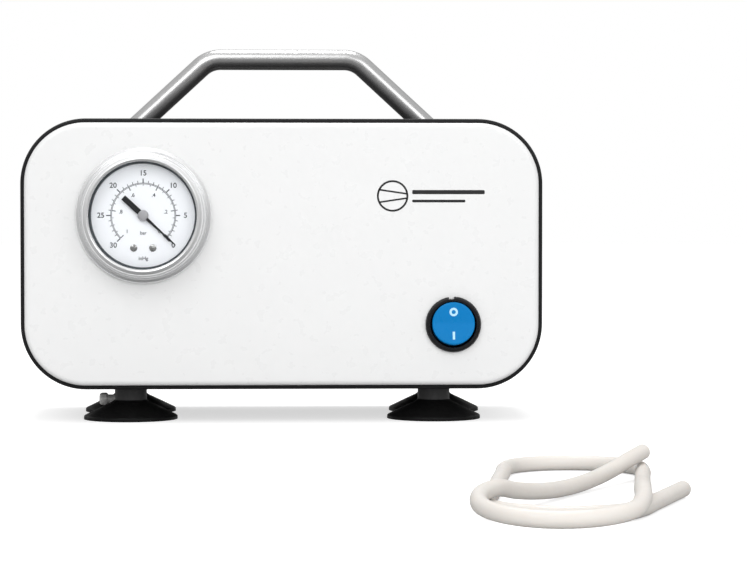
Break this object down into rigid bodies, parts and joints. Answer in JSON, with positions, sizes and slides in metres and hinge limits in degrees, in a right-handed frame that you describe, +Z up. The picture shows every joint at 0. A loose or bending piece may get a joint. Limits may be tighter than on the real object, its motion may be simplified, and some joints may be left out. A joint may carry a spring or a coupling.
{
  "type": "rotary vane vacuum pump",
  "caption": "Bench vacuum pump in a flat white case with rounded corners, bent steel handle, dial gauge, blue rocker switch, suction-cup feet and a loose hose.",
  "frame": {"origin": "on the surface the feet stand on, under the middle of the case", "axes": "+X to the right of someone facing the front, +Y to the back, +Z up"},
  "size_m": [0.2305, 0.4743, 0.1577],
  "materials": {
    "black_paint": "satin black powder coat",
    "white_paint": "satin white enamel",
    "screw_steel": "zinc plated",
    "sheet_steel": "zinc plated sheet",
    "rubber": "matte black",
    "handle_steel": "satin stainless",
    "gauge_chrome": "polished",
    "clear_lens": "clear",
    "seal_rubber": "matte black",
    "dial_white": "matte printed",
    "pointer_black": "matte black",
    "movement_brass": "machined",
    "black_plastic": "semi-gloss black",
    "rocker_blue": "glossy blue",
    "contact_brass": "plated",
    "bronze": "sintered bronze",
    "nickel": "nickel plated",
    "silicone": "translucent white",
    "hose_silicone": "satin off-white silicone",
    "aluminium_cast": "cast and machined",
    "cast_iron": "machined",
    "rotor_steel": "ground",
    "graphite": "carbon composite",
    "board": "green circuit board"
  },
  "bodies": {
    "pump": {"case_sleeve": "black_paint", "front_cover": "white_paint", "rear_cover": "white_paint", "tie_screw_1": "screw_steel", "tie_screw_2": "screw_steel", "tie_screw_3": "screw_steel", "tie_screw_4": "screw_steel", "foot_screw_1": "screw_steel", "foot_screw_2": "screw_steel", "foot_screw_3": "screw_steel", "foot_screw_4": "screw_steel", "handle_screw_1": "screw_steel", "handle_screw_2": "screw_steel", "chassis_plate": "sheet_steel", "gauge_case": "sheet_steel", "foot_1": "rubber", "foot_2": "rubber", "foot_3": "rubber", "foot_4": "rubber", "handle_bar": "handle_steel", "gauge_bezel": "gauge_chrome", "gauge_lens": "clear_lens", "gauge_seal_ring": "seal_rubber", "gauge_dial": "dial_white", "gauge_movement_frame": "movement_brass", "gauge_socket": "movement_brass", "gauge_bourdon_tube": "movement_brass", "switch_housing": "black_plastic", "power_inlet": "black_plastic", "inlet_pin_1": "contact_brass", "inlet_pin_2": "contact_brass", "inlet_pin_3": "contact_brass", "exhaust_silencer": "bronze", "inlet_elbow": "nickel", "inlet_nut": "nickel", "tee_fitting": "nickel", "inlet_hose": "silicone", "suction_hose": "silicone", "gauge_hose": "silicone", "exhaust_hose": "silicone", "pump_flange": "aluminium_cast", "pump_end_cover": "aluminium_cast", "motor_bell_left": "aluminium_cast", "motor_bell_right": "aluminium_cast", "motor_bracket": "aluminium_cast", "pump_cylinder": "cast_iron", "motor_stator": "rotor_steel", "power_board": "board"},
    "pointer": {"gauge_pointer": "pointer_black", "gauge_arbor": "movement_brass"},
    "sector": {"gauge_sector": "movement_brass"},
    "rocker": {"switch_rocker": "rocker_blue"},
    "rotor": {"pump_rotor": "rotor_steel", "drive_shaft": "rotor_steel", "motor_armature": "rotor_steel", "motor_fan": "black_plastic"},
    "vane_front": {"vane_1": "graphite"},
    "vane_back": {"vane_2": "graphite"},
    "loose_hose": {"hose": "hose_silicone"}
  },
  "joints": [
    {"name": "pointer_turn", "type": "hinge", "parent": "pump", "child": "pointer", "pos_m": [-0.0569, -0.057, 0.0859], "axis": [0, -1, 0], "range_deg": [0, 270]},
    {"name": "sector_turn", "type": "hinge", "parent": "pump", "child": "sector", "pos_m": [-0.0569, -0.0465, 0.0719], "axis": [0, -1, 0], "range_deg": [-45, 0], "stiffness_Nm_per_rad": 0.0004},
    {"name": "switch_rock", "type": "hinge", "parent": "pump", "child": "rocker", "pos_m": [0.0706, -0.049, 0.0409], "axis": [1, 0, 0], "range_deg": [0, 14]},
    {"name": "rotor_spin", "type": "hinge", "parent": "pump", "child": "rotor", "pos_m": [0, 0.012, 0.068], "axis": [1, 0, 0], "continuous": true},
    {"name": "vane_1_slide", "type": "slide", "parent": "rotor", "child": "vane_front", "axis": [0, -1, 0], "range_m": [0, 0.0025]},
    {"name": "vane_2_slide", "type": "slide", "parent": "rotor", "child": "vane_back", "axis": [0, 1, 0], "range_m": [0, 0.0025]},
    {"name": "hose_lift", "type": "slide", "parent": "pump", "child": "loose_hose", "axis": [0, 0, 1], "range_m": [0, 0.15]}
  ],
  "couplings": [
    {"joint": "pointer_turn", "follows": "sector_turn", "ratio": -6}
  ]
}
